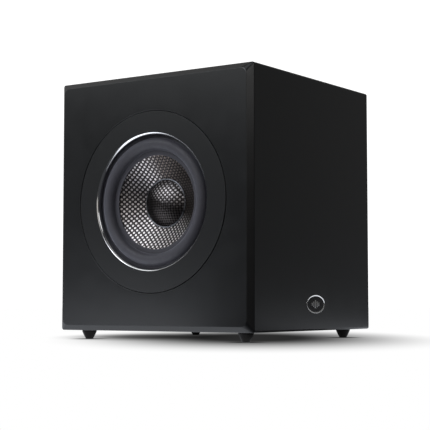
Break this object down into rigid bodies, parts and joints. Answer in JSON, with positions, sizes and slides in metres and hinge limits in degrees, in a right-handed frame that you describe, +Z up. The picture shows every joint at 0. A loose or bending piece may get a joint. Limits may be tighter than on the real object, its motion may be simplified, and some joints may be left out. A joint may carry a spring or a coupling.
{
  "type": "subwoofer",
  "caption": "Compact powered subwoofer: chamfered black box, side-firing woven-cone driver in a flush trim ring, facing passive radiator, rear amplifier panel, oval front badge, rubber feet.",
  "frame": {"origin": "on the floor, under the middle of the cabinet's footprint", "axes": "+Z up; -Y the way the driver fires; +Y the way the passive radiator fires; +X the badge side; -X the amplifier panel"},
  "size_m": [0.33, 0.33, 0.368],
  "materials": {
    "lacquer": "satin black lacquer over medium-density fibreboard",
    "fibreboard": "raw medium-density fibreboard",
    "trim_black": "matt black cover ring",
    "bezel_polished": "polished machined bevel",
    "surround_rubber": "smooth grey-black rubber with a soft sheen",
    "woven_glass": "plain-woven glass fibre in clear resin, silver tows over black",
    "cast_alloy": "black powder-coated casting",
    "motor_steel": "zinc-plated steel",
    "ferrite": "matt sintered ferrite",
    "copper": "enamelled copper winding",
    "former_film": "amber polyimide film",
    "spider_cloth": "resin-dipped corrugated cloth",
    "foot_rubber": "moulded black rubber",
    "badge_black": "gloss black with a plain emblem of level bars",
    "badge_chrome": "chromed rim",
    "panel_black": "black powder-coated aluminium plate",
    "board_green": "green circuit board with components",
    "control_plastic": "black moulded plastic",
    "winding_tape": "wound toroid under yellow polyester tape",
    "jack_nickel": "nickel-plated phono socket",
    "light_lens": "clear status light",
    "screw_black": "black oxide screw",
    "cable_rubber": "black cable sheath"
  },
  "bodies": {
    "cabinet": {"driver_baffle": "lacquer", "radiator_baffle": "lacquer", "badge_panel": "lacquer", "rear_panel": "lacquer", "top_panel": "lacquer", "bottom_panel": "lacquer", "window_brace": "fibreboard", "badge_rim": "badge_chrome", "badge_disc": "badge_black", "foot_front_left": "foot_rubber", "foot_front_right": "foot_rubber", "foot_rear_left": "foot_rubber", "foot_rear_right": "foot_rubber", "driver_trim_ring": "trim_black", "driver_bezel": "bezel_polished", "driver_surround": "surround_rubber", "driver_basket": "cast_alloy", "spider": "spider_cloth", "top_plate": "motor_steel", "magnet": "ferrite", "yoke": "motor_steel", "driver_terminal": "control_plastic", "tinsel_lead": "copper", "radiator_trim_ring": "trim_black", "radiator_bezel": "bezel_polished", "radiator_surround": "surround_rubber", "radiator_frame": "cast_alloy", "amp_plate": "panel_black", "circuit_board": "board_green", "transformer": "winding_tape", "power_inlet": "control_plastic", "input_jack_left": "jack_nickel", "input_jack_right": "jack_nickel", "status_light": "light_lens", "speaker_cable": "cable_rubber", "amp_screw_1": "screw_black", "amp_screw_2": "screw_black", "amp_screw_3": "screw_black", "amp_screw_4": "screw_black", "amp_screw_5": "screw_black", "amp_screw_6": "screw_black", "driver_screw_1": "screw_black", "driver_screw_2": "screw_black", "driver_screw_3": "screw_black", "driver_screw_4": "screw_black", "radiator_screw_1": "screw_black", "radiator_screw_2": "screw_black", "radiator_screw_3": "screw_black", "radiator_screw_4": "screw_black"},
    "driver_diaphragm": {"driver_cone": "woven_glass", "dust_cap": "woven_glass", "coil_former": "former_film", "voice_coil": "copper"},
    "radiator_diaphragm": {"radiator_cone": "woven_glass", "radiator_mass": "motor_steel"},
    "power_rocker_body": {"power_rocker": "control_plastic"},
    "level_knob_body": {"level_knob": "control_plastic"},
    "crossover_knob_body": {"crossover_knob": "control_plastic"},
    "phase_lever": {"phase_switch": "control_plastic"},
    "mode_lever": {"mode_switch": "control_plastic"}
  },
  "joints": [
    {"name": "driver_excursion", "type": "slide", "parent": "cabinet", "child": "driver_diaphragm", "axis": [0, -1, 0], "range_m": [-0.008, 0.008], "stiffness_N_per_m": 1200, "deforming": ["driver_surround", "spider", "tinsel_lead"]},
    {"name": "radiator_excursion", "type": "slide", "parent": "cabinet", "child": "radiator_diaphragm", "axis": [0, 1, 0], "range_m": [-0.01, 0.01], "stiffness_N_per_m": 1200, "deforming": ["radiator_surround"]},
    {"name": "power_rock", "type": "hinge", "parent": "cabinet", "child": "power_rocker_body", "pos_m": [-0.152, 0.02, 0.1225], "axis": [0, 1, 0], "range_deg": [0, 18]},
    {"name": "level_turn", "type": "hinge", "parent": "cabinet", "child": "level_knob_body", "pos_m": [-0.155, -0.032, 0.2565], "axis": [1, 0, 0], "range_deg": [-150, 150]},
    {"name": "crossover_turn", "type": "hinge", "parent": "cabinet", "child": "crossover_knob_body", "pos_m": [-0.155, 0.032, 0.2565], "axis": [1, 0, 0], "range_deg": [-150, 150]},
    {"name": "phase_slide", "type": "slide", "parent": "cabinet", "child": "phase_lever", "axis": [0, 0, 1], "range_m": [0, 0.004]},
    {"name": "mode_slide", "type": "slide", "parent": "cabinet", "child": "mode_lever", "axis": [0, 0, 1], "range_m": [-0.002, 0.002]}
  ]
}
